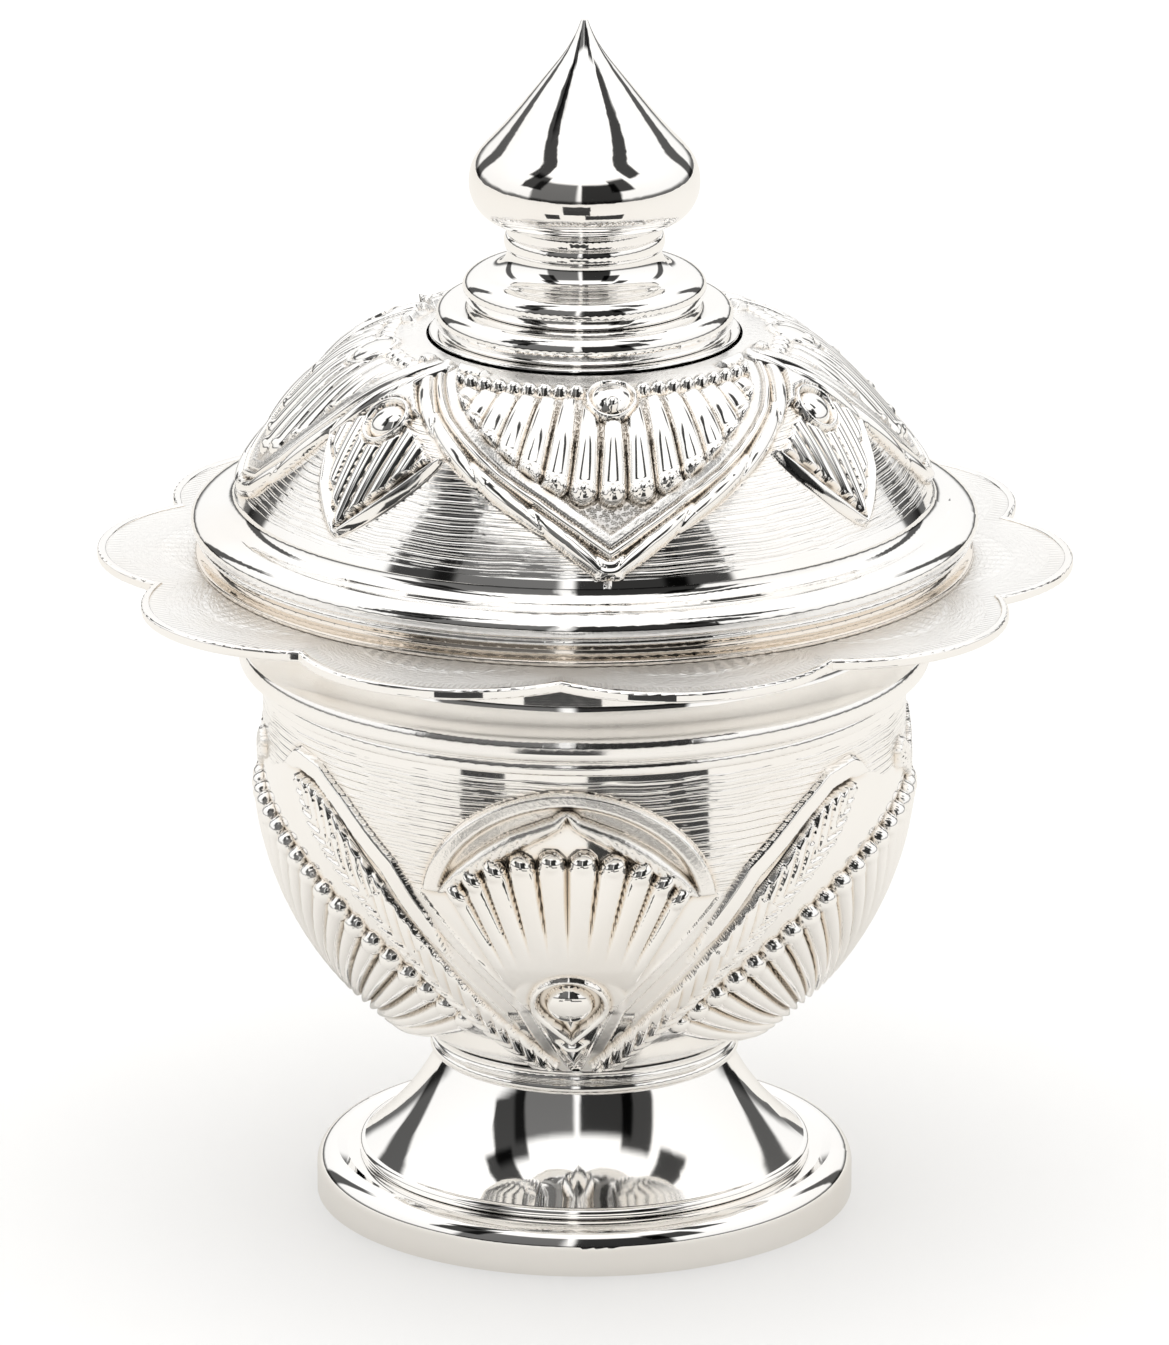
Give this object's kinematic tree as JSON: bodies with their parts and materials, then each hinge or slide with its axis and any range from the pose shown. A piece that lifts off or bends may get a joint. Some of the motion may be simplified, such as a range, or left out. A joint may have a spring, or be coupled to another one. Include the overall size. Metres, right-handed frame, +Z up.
{
  "type": "kumkum box",
  "caption": "silver kumkum box: round embossed bowl on a flared foot, scalloped tray round the mouth, domed lift-off lid with onion knob",
  "frame": {"origin": "centre of the foot's underside, which is the bottom centre of the bounding box", "axes": "+Z up along the turning axis, which is also the longest extent; -Y is the front with the middle fan of the bowl"},
  "size_m": [0.072, 0.0698, 0.0899],
  "materials": {
    "polished_silver": "mirror polished silver",
    "embossed_silver": "embossed silver, bright on the high ornament and scratch brushed or stippled on the ground",
    "satin_silver": "soft satin silver with turning marks",
    "hatched_silver": "finely hatched matte silver",
    "plated_brass": "silver plated brass with plain turning marks"
  },
  "bodies": {
    "box": {"foot_ring": "polished_silver", "pedestal": "polished_silver", "waist_ring": "polished_silver", "bowl_collar": "satin_silver", "bowl": "embossed_silver", "shoulder_ring": "satin_silver", "neck_ring": "polished_silver", "petal_tray": "hatched_silver", "tray_edge_wire": "polished_silver", "mouth_ring": "polished_silver"},
    "lid": {"lid_rim": "polished_silver", "lid_collar": "satin_silver", "lid_dome": "embossed_silver", "knob_lower_ring": "polished_silver", "knob_upper_ring": "polished_silver", "knob_neck": "polished_silver", "finial_cup": "polished_silver", "finial_crown": "polished_silver", "knob_stud": "plated_brass", "knob_washer": "plated_brass", "knob_nut": "plated_brass"}
  },
  "joints": [
    {"name": "lid_lift", "type": "slide", "parent": "box", "child": "lid", "axis": [0, 0, 1], "range_m": [0, 0.04]}
  ]
}
